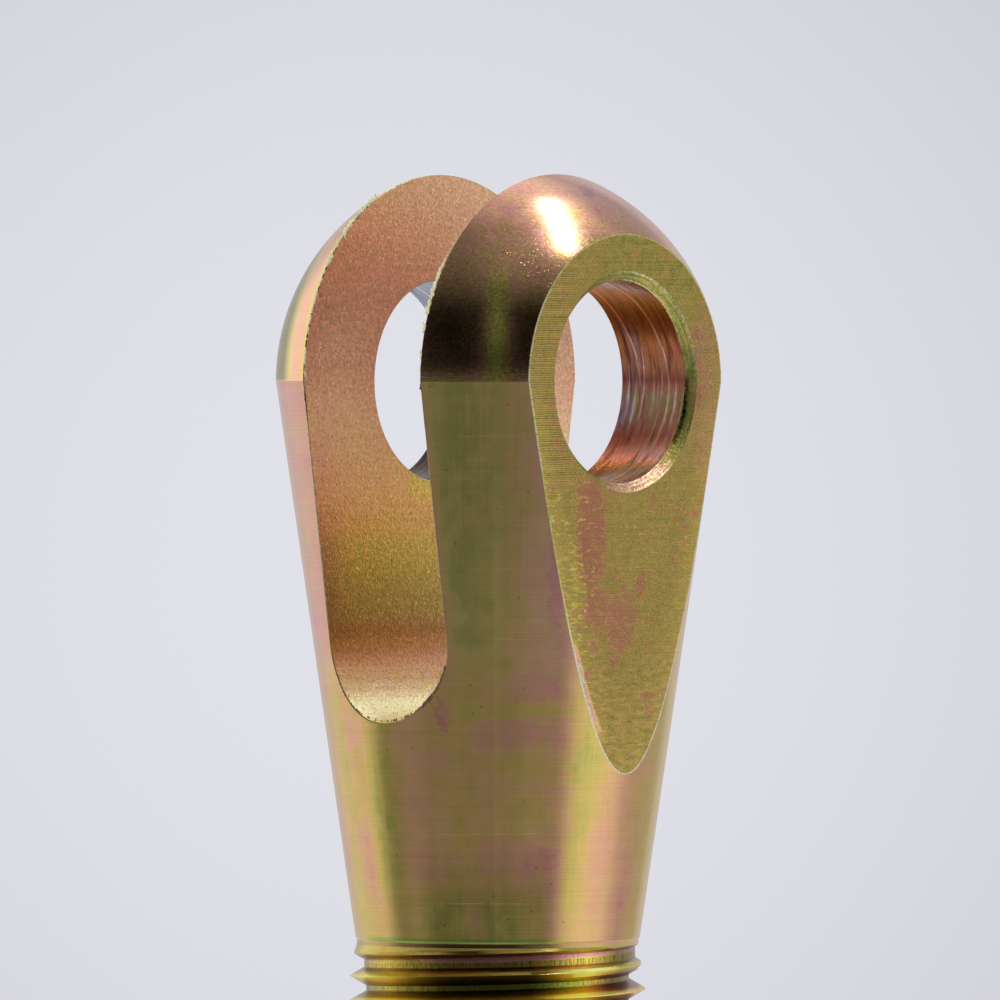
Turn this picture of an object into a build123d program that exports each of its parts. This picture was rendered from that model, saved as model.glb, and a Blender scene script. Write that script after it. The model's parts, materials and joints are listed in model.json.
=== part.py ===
from build123d import *
import os
from math import atan2, degrees, sqrt

# Clevis rod end with a threaded shank, turned and milled from one bar.
# Millimetres, +Z up. The origin is the centre of the cross bore, on the
# shank's axis. +X runs along the bore, +Y along the slot's open sides.

# What the fork takes: a flat tongue between the ears and a pin through them.
tongue_thickness = 9.525   # 3/8 in bar or plate
tongue_clearance = 0.2     # slot width over the tongue
pin_diameter = 12.7        # 1/2 in clevis pin
pin_clearance = 0.25       # bore diameter over the pin

# The turned outline, from the ball head down to the end of the shank.
head_diameter = 28.575     # ball round the bore's centre, 1 1/8 in
taper_length = 34.9        # from the ball's equator to the neck
neck_diameter = 18.46      # plain land at the small end of the taper
neck_length = 2.7
neck_shoulder = 0.3        # length of the cone from the neck to the thread
thread_diameter = 19.05    # 3/4 in, 16 threads to the inch, right hand
thread_allowance = 0.05    # external thread under its basic diameter
shank_length = 38.1        # from the neck's shoulder to the faced end
end_chamfer = 1.4          # at 45 degrees, just past the thread's root

# The milled and drilled features.
ear_thickness = 5.8        # from the slot's wall to the outer flat
slot_depth = 21.6          # from the bore's centre to the slot's floor
bore_chamfer = 0.55        # at 45 degrees, on the outer flats only
cutter_overrun = 2.0       # how far each cut runs past the metal

# Sizes that follow from those above.
head_radius = head_diameter / 2
neck_radius = neck_diameter / 2
shank_radius = (thread_diameter - thread_allowance) / 2
slot_width = tongue_thickness + tongue_clearance
slot_radius = slot_width / 2
bore_radius = (pin_diameter + pin_clearance) / 2
fork_width = slot_width + 2 * ear_thickness
taper_half_angle = degrees(atan2(head_radius - neck_radius, taper_length))

z_neck = -taper_length
z_shoulder = z_neck - neck_length
z_thread = z_shoulder - neck_shoulder
z_end = z_thread - shank_length
cut_top = head_radius + cutter_overrun
cut_reach = head_radius + cutter_overrun
flat_bottom = z_shoulder

print(f"taper half angle {taper_half_angle:.2f} degrees, slot {slot_width:.3f} wide")
print(f"bore {2 * bore_radius:.2f} across, {fork_width:.3f} over the flats")
print(f"wall beside the bore {sqrt(head_radius**2 - (fork_width / 2)**2) - bore_radius:.2f}")

os.makedirs("parts", exist_ok=True)

with BuildPart() as clevis_rod_end:
    # Turned blank: half of the section, spun round the shank's axis.
    with BuildSketch(Plane.XZ):
        with BuildLine():
            CenterArc((0, 0), head_radius, 0, 90)
            Polyline(
                (head_radius, 0),
                (neck_radius, z_neck),
                (neck_radius, z_shoulder),
                (shank_radius, z_thread),
                (shank_radius, z_end + end_chamfer),
                (shank_radius - end_chamfer, z_end),
                (0, z_end),
                (0, head_radius),
            )
        make_face()
    revolve(axis=Axis.Z)

    # Slot for the tongue, cut in from the top and ending in a full radius.
    slot_centre = -slot_depth + slot_radius
    with BuildSketch(Plane.XZ):
        with Locations((0, slot_centre)):
            Circle(slot_radius)
            Rectangle(slot_width, cut_top - slot_centre, align=(Align.CENTER, Align.MIN))
    extrude(amount=cut_reach, both=True, mode=Mode.SUBTRACT)

    # Two milled flats, one on each ear, that run out in the taper.
    with BuildSketch(Plane.XZ):
        for side in (-1, 1):
            with Locations((side * (fork_width + cut_reach) / 2, flat_bottom)):
                Rectangle(cut_reach, cut_top - flat_bottom, align=(Align.CENTER, Align.MIN))
    extrude(amount=cut_reach, both=True, mode=Mode.SUBTRACT)

    # Cross bore through both ears, chamfered where it leaves the flats.
    with BuildSketch(Plane.YZ):
        Circle(bore_radius)
    extrude(amount=cut_reach, both=True, mode=Mode.SUBTRACT)
    bore_rims = clevis_rod_end.edges().filter_by(GeomType.CIRCLE)
    bore_rims = bore_rims.filter_by(lambda rim: abs(rim.radius - bore_radius) < cutter_overrun / 100)
    outer_rims = ShapeList([bore_rims.sort_by(Axis.X)[0], bore_rims.sort_by(Axis.X)[-1]])
    chamfer(outer_rims, length=bore_chamfer)

clevis_rod_end.part.label = "clevis_rod_end"
export_step(clevis_rod_end.part, "parts/clevis_rod_end.step")
print(f"volume {clevis_rod_end.part.volume:.1f} mm3, length {head_radius - z_end:.2f}")
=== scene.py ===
# %% [markdown]
# # A clevis rod end, turned, milled and plated
#
# A clevis rod end is a fork on a threaded shank: a tongue goes into the slot and a pin goes through
# both. The real one is a single piece of steel, so this lesson ends with a single closed mesh.
# It follows the workshop: the turned outline first, then the slot, the flats and the bores, then
# the thread, and last the plating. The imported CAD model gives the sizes, and nothing else is read.

# %% The frame
import json
import math
from math import acos, cos, pi, radians, sin, sqrt

import bmesh
import bpy
import numpy as np
from mathutils import Matrix, Vector


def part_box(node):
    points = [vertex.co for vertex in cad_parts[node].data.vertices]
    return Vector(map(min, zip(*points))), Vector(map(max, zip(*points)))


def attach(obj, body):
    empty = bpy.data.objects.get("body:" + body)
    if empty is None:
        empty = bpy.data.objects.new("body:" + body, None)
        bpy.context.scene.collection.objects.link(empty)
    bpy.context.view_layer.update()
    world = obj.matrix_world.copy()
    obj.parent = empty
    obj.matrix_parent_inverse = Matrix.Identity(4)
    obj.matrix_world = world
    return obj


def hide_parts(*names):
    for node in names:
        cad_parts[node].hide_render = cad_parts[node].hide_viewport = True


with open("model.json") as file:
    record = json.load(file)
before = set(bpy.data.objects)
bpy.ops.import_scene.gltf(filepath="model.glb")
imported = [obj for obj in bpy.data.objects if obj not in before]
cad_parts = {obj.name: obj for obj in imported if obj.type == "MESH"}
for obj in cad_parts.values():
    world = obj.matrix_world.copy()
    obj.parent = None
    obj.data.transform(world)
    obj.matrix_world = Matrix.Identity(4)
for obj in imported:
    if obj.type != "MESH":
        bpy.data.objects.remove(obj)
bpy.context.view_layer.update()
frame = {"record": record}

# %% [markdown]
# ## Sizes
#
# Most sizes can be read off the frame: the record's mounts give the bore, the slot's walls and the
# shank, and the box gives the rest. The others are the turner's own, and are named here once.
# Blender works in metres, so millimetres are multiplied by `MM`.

MM = 0.001
low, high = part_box("clevis_rod_end")
mounts = {mount["name"]: mount for mount in frame["record"]["mounts"]}

flat_x = high[0]  # the milled flat on each ear
slot_x = mounts["slot_wall_right"]["pos_m"][0]  # the slot's wall
head_radius = math.hypot(high[1], slot_x)  # the ball, cut by the slot
bore_radius = mounts["pin_bore"]["dims"]["r_mm"] * MM
shank_radius = mounts["threaded_shank"]["dims"]["r_mm"] * MM
end_z = low[2]

taper_length = 34.9 * MM
taper_foot_z = -35.65 * MM  # the cone runs on a little past the neck
neck_radius = 9.23 * MM
shoulder_z = -37.6 * MM  # the neck ends here
full_thread_z = -37.9 * MM  # and the shank has its full diameter
end_chamfer = 1.4 * MM
slot_depth = 21.6 * MM
bore_chamfer = 0.55 * MM
slot_centre_z = slot_x - slot_depth  # axis of the slot's round floor
taper = (head_radius - neck_radius) / taper_length  # radius lost for each unit of height
flat_tip_z = (flat_x - head_radius) / taper  # where the flat runs out in the taper

print(f"ball {2 * head_radius / MM:.2f} mm, taper {math.degrees(math.atan(taper)):.2f} degrees")
print(f"flats end at {flat_tip_z / MM:.2f} mm, slot floor's axis at {slot_centre_z / MM:.2f} mm")

# %% [markdown]
# ## The camera
#
# The picture is a long-lens close-up from just above the bore's height, about forty degrees round
# from the open side of the slot, so the ball, one milled flat and the far ear's inner wall all
# show. The lens is so long that the ears hardly differ in scale. The bottom of the picture cuts
# the shank at its second thread.

# %% Camera
AROUND, ABOVE, ROLL = radians(40.41), radians(0.636), radians(0.099)
camera_distance = 955.9 * MM
aim_right, aim_up = 0.0872 * MM, -7.621 * MM  # the bore's centre is off the middle
picture_width = 1000  # pixels
focal_pixels = 14904  # focal length, in pixels
sensor_width = 36.0

front = Vector((sin(AROUND), -cos(AROUND), 0))
towards_camera = Vector((sin(AROUND) * cos(ABOVE), -cos(AROUND) * cos(ABOVE), sin(ABOVE)))
level_right = Vector((cos(AROUND), sin(AROUND), 0))
level_up = towards_camera.cross(level_right)
right = level_right * cos(ROLL) + level_up * sin(ROLL)
up = level_up * cos(ROLL) - level_right * sin(ROLL)
place = towards_camera * camera_distance + right * aim_right + up * aim_up


def add_object(name, data):
    """A new object in the scene."""
    made = bpy.data.objects.new(name, data)
    bpy.context.collection.objects.link(made)
    return made


camera_data = bpy.data.cameras.new("camera")
camera_data.sensor_width = sensor_width
camera_data.lens = focal_pixels / picture_width * sensor_width
camera_data.clip_start, camera_data.clip_end = 0.05, 20
camera = add_object("camera", camera_data)
axes = Matrix((right, up, towards_camera)).transposed()
camera.matrix_world = Matrix.Translation(place) @ axes.to_4x4()
bpy.context.scene.camera = camera
print(f"lens {camera_data.lens:.0f} mm at {camera_distance / MM:.0f} mm")

# %% [markdown]
# ## Patches
#
# A boolean would leave long thin faces along every cut, and plated metal shows them as wobbles in
# its reflections. The cuts here all follow simple rules, so each surface is made instead as a grid
# of points that ends exactly on its edges. Neighbouring grids share their edge points and are
# welded at the end. Between them runs a hair-thin strip, the broken edge that a real cut leaves,
# and it catches the light as the real one does.


# %% A collector for patches
class Skin:
    """Grids of points with the finish of each, to be welded into one closed surface."""

    def __init__(self):
        self.points, self.faces, self.finishes = [], [], []
        self.count = 0

    def grid(self, points, finish):
        """Adds a patch. points has the shape (rows, columns, 3), in metres."""
        rows, columns = points.shape[:2]
        index = np.arange(rows * columns).reshape(rows, columns) + self.count
        corners = (index[:-1, :-1], index[1:, :-1], index[1:, 1:], index[:-1, 1:])
        self.points.append(points.reshape(-1, 3))
        self.faces.append(np.stack([corner.ravel() for corner in corners], axis=-1))
        self.finishes += [finish] * ((rows - 1) * (columns - 1))
        self.count += rows * columns

    def copies(self, points, finish, mirrors):
        """Adds the patch once for each (x, y) pair of signs."""
        for x, y in mirrors:
            self.grid(points * (x, y, 1), finish)


def points_at(*columns):
    """Points from x, y and z. A plain number fills its whole column."""
    return np.stack(np.broadcast_arrays(*columns), axis=-1)


def band(first, second, steps=1):
    """A grid between two rows of points, in straight lines."""
    share = np.linspace(0, 1, steps + 1)[:, None, None]
    return first[None] * (1 - share) + second[None] * share


QUARTERS = [(1, 1), (-1, 1), (-1, -1), (1, -1)]
EARS = [(1, 1), (-1, 1)]
FINISHES = ["turned", "milled", "slot", "bore", "thread", "edge", "faced"]
skin = Skin()

# %% [markdown]
# ## The turned surface
#
# In one quarter of the part, every row of points is a ring at one height, cut short where the ring
# meets the milled flat on one side and the slot on the other. The rows crowd together where a cut
# runs out: there the cut's edge turns sideways, so equal steps in angle are better than equal
# steps in height.

# %% Rows of the taper
edge_width = 0.07 * MM
columns = 48  # in a quarter ring
arc_steps = 96  # over an ear's half circle
side_rows, floor_rows, tip_rows, taper_rows = 30, 12, 6, 16


def taper_radius(z):
    return head_radius + taper * z


def flat_edge(radius):
    """Distance of the flat's edge from the middle plane. It narrows as the cut gets shallow."""
    if radius <= flat_x:
        return radius
    return flat_x - edge_width * sqrt(1 - (flat_x / radius) ** 2)


slot_edge_x = slot_x + edge_width  # the slot's edge on the turned side
floor_angles = np.linspace(pi / 2, 0, floor_rows + 1)
tip_start = acos(flat_x / taper_radius(slot_centre_z - slot_edge_x))
tip_angles = np.linspace(tip_start, 0, tip_rows + 1)
rings = [(z, slot_edge_x) for z in np.linspace(0, slot_centre_z, side_rows + 1)]
rings += [(slot_centre_z - slot_edge_x * cos(a), slot_edge_x * sin(a)) for a in floor_angles[1:]]
rings += [((flat_x / cos(a) - head_radius) / taper, 0.0) for a in tip_angles[1:]]
rings += [(z, 0.0) for z in np.linspace(flat_tip_z, taper_foot_z, taper_rows + 1)[1:]]


def ring_quarter(z, slot_half):
    """Points of a ring from the flat's edge round to the slot's edge."""
    radius = taper_radius(z)
    start, end = acos(flat_edge(radius) / radius), acos(slot_half / radius)
    turn = np.linspace(start, end, columns + 1)
    return points_at(radius * np.cos(turn), radius * np.sin(turn), z)


taper_points = np.array([ring_quarter(z, slot_half) for z, slot_half in rings])
skin.copies(taper_points, "turned", QUARTERS)
print(f"taper: {len(rings)} rings of {4 * columns} points")

# %% [markdown]
# The ball's zone between the slot and the flat is turned about the bore's axis instead, so that its
# two sides are plain half circles. It uses the columns of the taper's top ring, which makes the
# line at the ball's equator a shared row of points. The form tool had worn, so the ball came out
# a sixth of a millimetre low at its top.

# %% The ball
ball_height = 0.9877  # of a true ball's
top_ring = taper_points[0]
sweep = np.linspace(0, pi, arc_steps + 1)


def half_circle(x, radius):
    """Points over the top of an ear, from +Y to -Y."""
    return points_at(x, radius * np.cos(sweep), radius * np.sin(sweep) * ball_height)


ball_points = np.stack([half_circle(x, y) for x, y, _ in top_ring], axis=1)
skin.copies(ball_points, "turned", EARS)

# %% [markdown]
# ## The milled flats and the slot
#
# Each flat is a plane with a hole: the grid runs from its outline to the bore's chamfer, with one
# point of the outline for each point of the hole. The slot's walls are made the same way, and its
# floor is half a cylinder whose ends follow the taper.

# %% Outlines of the flats and the slot's walls
side_z = np.array([z for z, _ in rings[: side_rows + 1]])
flat_z = np.array([z for z, _ in rings[: side_rows + floor_rows + tip_rows + 1]])


def flat_outline():
    """The flat's outline inside its broken edge: a circle on the ball, a hyperbola on the taper."""
    half = np.sqrt(np.maximum(taper_radius(flat_z) ** 2 - flat_x**2, 0))
    slope = taper * taper_radius(flat_z) / np.maximum(half, 1e-9)
    length = np.hypot(1, slope)
    inside_y = np.maximum(half - edge_width / length, 0)
    inside_z = flat_z + edge_width * slope / length
    inside_y[0], inside_z[0] = half[0] - edge_width, 0
    inside_y[-1] = 0
    down = points_at(flat_x, -inside_y, inside_z)
    back_up = (down * (1, -1, 1))[::-1]
    over = half_circle(flat_x, sqrt(head_radius**2 - flat_x**2) - edge_width)
    return np.concatenate([over, down[1:], back_up[1:]])


def wall_half(x, z):
    """Half depth of the metal at a place in the slot, inside its broken edge."""
    return np.sqrt(taper_radius(z) ** 2 - x**2) - edge_width


def wall_outline():
    """The slot wall's outline: over the ear, down, along the top of the round floor, and up."""
    half = wall_half(slot_x, side_z)
    down = points_at(slot_x, -half, side_z)
    back_up = (down * (1, -1, 1))[::-1]
    bottom = points_at(slot_x, np.linspace(-half[-1], half[-1], floor_steps + 1), slot_centre_z)
    over = half_circle(slot_x, half[0])
    return np.concatenate([over, down[1:], bottom[1:], back_up[1:]])


def hole(x, radius, points):
    """A circle round the bore's axis with one point for each point of an outline."""
    turn = np.linspace(0, 2 * pi, points)
    return points_at(x, radius * np.cos(turn), radius * np.sin(turn))


floor_steps = 2 * (floor_rows + tip_rows)
flat_line, wall_line = flat_outline(), wall_outline()
around = len(flat_line)
assert around == len(wall_line), "the two outlines need as many points as the bore"

chamfer_edge = 0.03 * MM
flat_hole = hole(flat_x, bore_radius + bore_chamfer + chamfer_edge, around)
wall_hole = hole(slot_x, bore_radius + edge_width, around)
skin.copies(band(flat_line, flat_hole, steps=4), "milled", EARS)
skin.copies(band(wall_line, wall_hole, steps=4), "slot", EARS)
print(f"flats and walls: {around - 1} points round each bore")

# %% The slot's round floor
floor_turn = np.linspace(-pi / 2, pi / 2, 2 * floor_rows + 1)
floor_points = []
for turn in floor_turn:
    x, z = slot_x * sin(turn), slot_centre_z - slot_x * cos(turn)
    reach = np.linspace(-1, 1, floor_steps + 1) * wall_half(x, z)
    floor_points.append(points_at(x, reach, z))
skin.grid(np.array(floor_points), "slot")

# %% [markdown]
# ## Broken edges
#
# The strips join what is already there, so their points are taken from the patches on each side.

# %% Strips along the slot and the flats
sides = side_rows + floor_rows + tip_rows
skin.copies(band(ball_points[:, -1], half_circle(slot_x, wall_half(slot_x, 0))), "edge", EARS)
skin.copies(band(ball_points[:, 0], flat_line[: arc_steps + 1]), "edge", EARS)

wall_down = wall_line[arc_steps : arc_steps + side_rows + 1] * (1, -1, 1)
skin.copies(band(taper_points[: side_rows + 1, -1], wall_down), "edge", QUARTERS)
floor_end = np.array([row[-1] for row in floor_points[: floor_rows - 1 : -1]])
slot_rim = taper_points[side_rows : side_rows + floor_rows + 1, -1]
skin.copies(band(slot_rim, floor_end), "edge", QUARTERS)
flat_down = flat_line[arc_steps : arc_steps + sides + 1] * (1, -1, 1)
skin.copies(band(taper_points[: sides + 1, 0], flat_down), "edge", QUARTERS)

# %% Chamfers and broken edges of the bore
bore_outer_x = flat_x - bore_chamfer
bore_inner_x = slot_x + edge_width
chamfer_top = hole(flat_x - chamfer_edge, bore_radius + bore_chamfer, around)
chamfer_foot = hole(bore_outer_x, bore_radius, around)
bore_inner = hole(bore_inner_x, bore_radius, around)
skin.copies(band(flat_hole, chamfer_top), "edge", EARS)
skin.copies(band(chamfer_top, chamfer_foot, steps=3), "edge", EARS)
skin.copies(band(wall_hole, bore_inner), "edge", EARS)

# %% [markdown]
# ## Node trees in Python
#
# Geometry trees and shader trees use the same kind of sockets. This small class wraps one socket,
# so that `a * 2 + b` adds the Math nodes it stands for, and `node` makes any other node.


# %% Sockets with operators
def maths_method(operation):
    """A method that adds one Math node."""
    return lambda self, *others: self.maths(operation, *others)


class Wire:
    """An output socket in a node tree, which can be used in sums."""

    def __init__(self, tree, socket):
        self.tree, self.socket = tree, socket

    def node(self, kind, settings=None, output=0, **values):
        """Makes a node, sets it up, fills its inputs and returns one of its outputs."""
        return make_node(self.tree, kind, settings, output, **values)

    def also(self, output):
        """Another output of the node that this wire comes from."""
        return Wire(self.tree, find_socket(self.socket.node.outputs, output))

    def maths(self, operation, *others):
        """A Math node on this wire and others."""
        made = self.tree.nodes.new("ShaderNodeMath")
        made.operation = operation
        for socket, value in zip(made.inputs, (self, *others)):
            plug(self.tree, socket, value)
        return Wire(self.tree, made.outputs[0])

    def number(self, value):
        """A plain number as a wire in the same tree."""
        made = self.tree.nodes.new("ShaderNodeValue")
        made.outputs[0].default_value = value
        return Wire(self.tree, made.outputs[0])

    def __rsub__(self, other):
        return self.number(other) - self

    def __rtruediv__(self, other):
        return self.number(other) / self

    def __neg__(self):
        return self * -1

    __add__ = __radd__ = maths_method("ADD")
    __sub__ = maths_method("SUBTRACT")
    __mul__ = __rmul__ = maths_method("MULTIPLY")
    __truediv__ = maths_method("DIVIDE")
    __pow__ = maths_method("POWER")
    __mod__ = maths_method("FLOORED_MODULO")
    __abs__ = maths_method("ABSOLUTE")
    least, most = maths_method("MINIMUM"), maths_method("MAXIMUM")
    sine, cosine = maths_method("SINE"), maths_method("COSINE")

    def vector_maths(self, operation, other, output=0):
        """A Vector Math node on this wire and another value."""
        settings = {"operation": operation}
        return self.node("ShaderNodeVectorMath", settings, output, Vector=self, Vector_001=other)

    def ramp(self, start, end, kind="LINEAR"):
        """0 at start, 1 at end, level beyond both."""
        settings = {"interpolation_type": kind}
        return self.node("ShaderNodeMapRange", settings, Value=self, From_Min=start, From_Max=end)

    def ease(self, start, end):
        """A ramp that starts and ends softly."""
        return self.ramp(start, end, "SMOOTHSTEP")

    def within(self, start, end, soft):
        """1 from start to end, with soft sides."""
        return self.ease(start - soft, start + soft) * self.ease(end + soft, end - soft)


def plug(tree, socket, value):
    """Links a wire to an input, or writes a plain value on it."""
    if isinstance(value, Wire):
        tree.links.new(value.socket, socket)
    elif isinstance(value, bpy.types.NodeSocket):
        tree.links.new(value, socket)
    else:
        socket.default_value = value


def find_socket(sockets, name):
    """A socket by its place, its identifier or its name, with _ for a space."""
    if isinstance(name, int):
        return sockets[name]
    for socket in sockets:
        if socket.identifier == name:
            return socket
    return next(socket for socket in sockets if socket.name == name.replace("_", " "))


def make_node(tree, kind, settings=None, output=0, **values):
    """One node of any type: its settings first, then its inputs, and a wire from one output."""
    made = tree.nodes.new(kind)
    for name, value in (settings or {}).items():
        if name == "stops":
            fill_ramp(made.color_ramp, value)
        else:
            setattr(made, name, value)
    for name, value in values.items():
        plug(tree, find_socket(made.inputs, name), value)
    return Wire(tree, find_socket(made.outputs, output))


def vector(tree, x, y, z):
    """A vector from three wires or numbers."""
    return make_node(tree, "ShaderNodeCombineXYZ", X=x, Y=y, Z=z)


def fill_ramp(ramp, stops):
    """Gives a colour ramp its stops, as (position, colour) pairs."""
    while len(ramp.elements) < len(stops):
        ramp.elements.new(1.0)
    for element, (position, colour) in zip(ramp.elements, stops):
        element.position = position
        element.color = (*colour, 1.0)


# %% [markdown]
# ## The thread
#
# A thread follows a rule, so Geometry Nodes cut it. The tree starts from a flat grid: one way it
# runs along the groove, turn after turn, and the other way across it, from one crest to the next.
# Each point is wound onto the shank, and the last column of one turn falls on the first column of
# the next, where Merge by Distance joins them. Points past the neck or past the faced end are
# held at the end ring, which closes both ends without a cap.
#
# The groove fades out over its last two turns, as it does behind a die: its flanks stay where they
# are, but its floor is lifted a little more at each turn, so the groove gets shallow and wide
# until it opens into the relief ring under the taper.


# %% A sheet wound into a helix
def new_tree(name, inputs):
    """An empty Geometry Nodes tree with a mesh output and named number inputs."""
    tree = bpy.data.node_groups.new(name, "GeometryNodeTree")
    tree.interface.new_socket("Geometry", in_out="OUTPUT", socket_type="NodeSocketGeometry")
    for label, value in inputs.items():
        kind = "NodeSocketInt" if isinstance(value, int) else "NodeSocketFloat"
        tree.interface.new_socket(label, in_out="INPUT", socket_type=kind)
    entry = tree.nodes.new("NodeGroupInput")
    return tree, {label: Wire(tree, entry.outputs[label]) for label in inputs}


def helix_sheet(tree, given, rows):
    """The grid and, for each of its points, its angle, its groove's height and its row, -1 to 1."""
    per_turn, across = given["Points per turn"], 2 * rows + 1
    along = given["Turns"] * per_turn
    sheet = make_node(tree, "GeometryNodeMeshGrid", Vertices_X=along + 1, Vertices_Y=across)
    index = make_node(tree, "GeometryNodeInputIndex")
    row = index % across
    step = (index - row) / across
    angle = (step % per_turn) * 2 * pi / per_turn
    height = given["First groove"] + given["Pitch"] * step / per_turn
    return sheet, angle, height, row / rows - 1


def finish_tree(tree, sheet, position, finish):
    """Places the sheet's points, welds the turns, and ends as the export needs."""
    placed = make_node(tree, "GeometryNodeSetPosition", Geometry=sheet, Position=position)
    welded = make_node(tree, "GeometryNodeMergeByDistance", Geometry=placed, Distance=WELD)
    real = make_node(tree, "GeometryNodeRealizeInstances", Geometry=welded)
    plating = bpy.data.materials[finish]
    painted = make_node(tree, "GeometryNodeSetMaterial", Geometry=real, Material=plating)
    exit_node = tree.nodes.new("NodeGroupOutput")
    tree.links.new(painted.socket, exit_node.inputs["Geometry"])


def grow(name, tree, inputs):
    """Runs a tree and keeps its result as a plain mesh."""
    carrier = add_object(name, bpy.data.meshes.new(name))
    modifier = carrier.modifiers.new("nodes", "NODES")
    modifier.node_group = tree
    for item in tree.interface.items_tree:
        if item.in_out == "INPUT":
            modifier[item.identifier] = inputs[item.name]
    evaluated = carrier.evaluated_get(bpy.context.evaluated_depsgraph_get())
    mesh = bpy.data.meshes.new_from_object(evaluated)
    carrier.modifiers.remove(modifier)
    bpy.data.objects.remove(carrier)
    return mesh


WELD = 1e-6
for finish in [*FINISHES, "burr"]:
    bpy.data.materials.new(finish)

# %% Cutting the thread
thread_pitch = 25.4 / 16 * MM
relief_radius = 9.04 * MM  # a ring turned under the taper
relief_top_z, relief_foot_z = -35.76 * MM, -36.04 * MM
crest_start_radius, crest_start_z = 9.2 * MM, -36.26 * MM
thread_inputs = {
    "Turns": 28,
    "Points per turn": 4 * columns,
    "Pitch": thread_pitch,
    "First groove": -38.32 * MM - 25 * thread_pitch,
    "Root radius": 8.43 * MM,
    "Root flat": 0.32 * MM,
    "Fades above": -37.75 * MM,
    "Lift": 0.33,  # of the groove's floor, for each mm up
    "Top": relief_foot_z,
    "Bottom": end_z,
}


def blank_radius(z):
    """The shank before it is threaded: relief ring, neck, and full diameter."""
    neck = z.ramp(relief_foot_z, crest_start_z) * (crest_start_radius - relief_radius) + relief_radius
    return neck + z.ramp(shoulder_z, full_thread_z) * (shank_radius - crest_start_radius)


tree, given = new_tree("helical thread", thread_inputs)
sheet, angle, groove_z, row = helix_sheet(tree, given, rows=4)
flank = 1 / math.tan(radians(30))
half_pitch, half_root = given["Pitch"] / 2, given["Root flat"] / 2

lift = (groove_z - given["Fades above"]).most(0) * given["Lift"]
mouth = ((blank_radius(groove_z) - given["Root radius"]).most(0) / flank + half_root).least(half_pitch)
half_floor = (half_root + lift / flank).least(mouth)
across = abs(row)
reach = across.ramp(0, 0.25) * half_floor + across.ramp(0.25, 0.75) * (mouth - half_floor)
reach += across.ramp(0.75, 1) * (half_pitch - mouth)
height = groove_z + reach * row.maths("SIGN")

past_top = height.maths("GREATER_THAN", given["Top"] - WELD)
cut = given["Root radius"] + ((reach - half_root).most(0) * flank).most(lift) + past_top * shank_radius
chamfered = (height - given["Bottom"]).most(0) + (shank_radius - end_chamfer)
radius = cut.least(blank_radius(height)).least(chamfered)
height = height.least(given["Top"]).most(given["Bottom"])
position = vector(tree, radius * angle.cosine(), radius * angle.sine(), height)
finish_tree(tree, sheet, position, "thread")
thread_mesh = grow("thread", tree, thread_inputs)
print(f"thread: {len(thread_mesh.polygons)} faces, pitch {thread_pitch / MM:.3f} mm")

# %% [markdown]
# ## The bore's tool marks
#
# A boring tool leaves a fine helix in the hole. The same sheet, wound about the bore's axis, makes
# it: this time each row across is only a few hundredths of a millimetre deep. The tool chattered,
# so a noise read along the cut makes some turns deep and lets others fade. The hole was bored
# through both ears at once, so both strips come from one tree with different ends.

# %% Boring the ears
bore_inputs = {
    "Turns": 54,
    "Points per turn": around - 1,
    "Pitch": 0.62 * MM,
    "First groove": -16.4 * MM,
    "Depth": 0.03 * MM,
    "Top": bore_outer_x,
    "Bottom": bore_inner_x,
}
tree, given = new_tree("bored helix", bore_inputs)
sheet, angle, groove_x, row = helix_sheet(tree, given, rows=3)
height = groove_x + row * given["Pitch"] / 2
inside = height.ramp(given["Bottom"], given["Bottom"] + given["Pitch"])
inside *= height.ramp(given["Top"], given["Top"] - given["Pitch"])
one_way = {"noise_dimensions": "1D"}
bite = make_node(tree, "ShaderNodeTexNoise", one_way, W=groove_x / given["Pitch"] * 4, Scale=1.0)
bite = bite.ramp(0.35, 0.7)
lean = make_node(tree, "ShaderNodeTexNoise", one_way, W=groove_x / given["Pitch"] * 2, Scale=1.0)
profile = (1 - row * row) * (1 + row * (lean - 0.5) * 3)
radius = bore_radius + profile * bite * given["Depth"] * inside
height = height.least(given["Top"]).most(given["Bottom"])
position = vector(tree, height, radius * angle.cosine(), radius * angle.sine())
finish_tree(tree, sheet, position, "bore")
near_bore = grow("near bore", tree, bore_inputs)
far_ends = {"Top": -bore_inner_x, "Bottom": -bore_outer_x}
far_bore = grow("far bore", tree, {**bore_inputs, **far_ends})
print(f"bores: {len(near_bore.polygons) + len(far_bore.polygons)} faces")

# %% [markdown]
# ## The two ends of the thread
#
# At the top, a relief ring joins the taper's foot to the thread's first ring. At the bottom, a
# plain faced end fills its last one.

# %% The relief ring under the taper, and the faced end
ring_turn = np.linspace(0, 2 * pi, 4 * columns + 1)


def level_ring(radius, z):
    return points_at(radius * np.cos(ring_turn), radius * np.sin(ring_turn), z)


taper_foot = (taper_radius(taper_foot_z), taper_foot_z)
relief = [taper_foot, (relief_radius, relief_top_z), (relief_radius, relief_foot_z)]
skin.grid(np.stack([level_ring(radius, z) for radius, z in relief]), "turned")
face_radii = np.array([1.0, 0.6, 0.25, 0.0]) * (shank_radius - end_chamfer)
skin.grid(np.stack([level_ring(r, end_z) for r in face_radii]), "faced")

# %% [markdown]
# ## Welding the skin
#
# All the patches now go into one mesh. Points that coincide are merged, and because the surface is
# then closed, Blender can turn every face outwards without a mistake. Edges between two finishes
# stay crisp, and so does the line at the ball's equator.

# %% A rim that the cutter rolled over
rim_turns = [-90, -58, -15, 16, 47, 62, 90]  # degrees from the floor's lowest line
rim_offsets = [0, -0.06, 0.16, 0.08, -0.17, -0.04, 0]  # millimetres out from the slot's axis
rim_depth, rim_width = 0.45 * MM, 0.7 * MM  # how far the damage reaches


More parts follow.
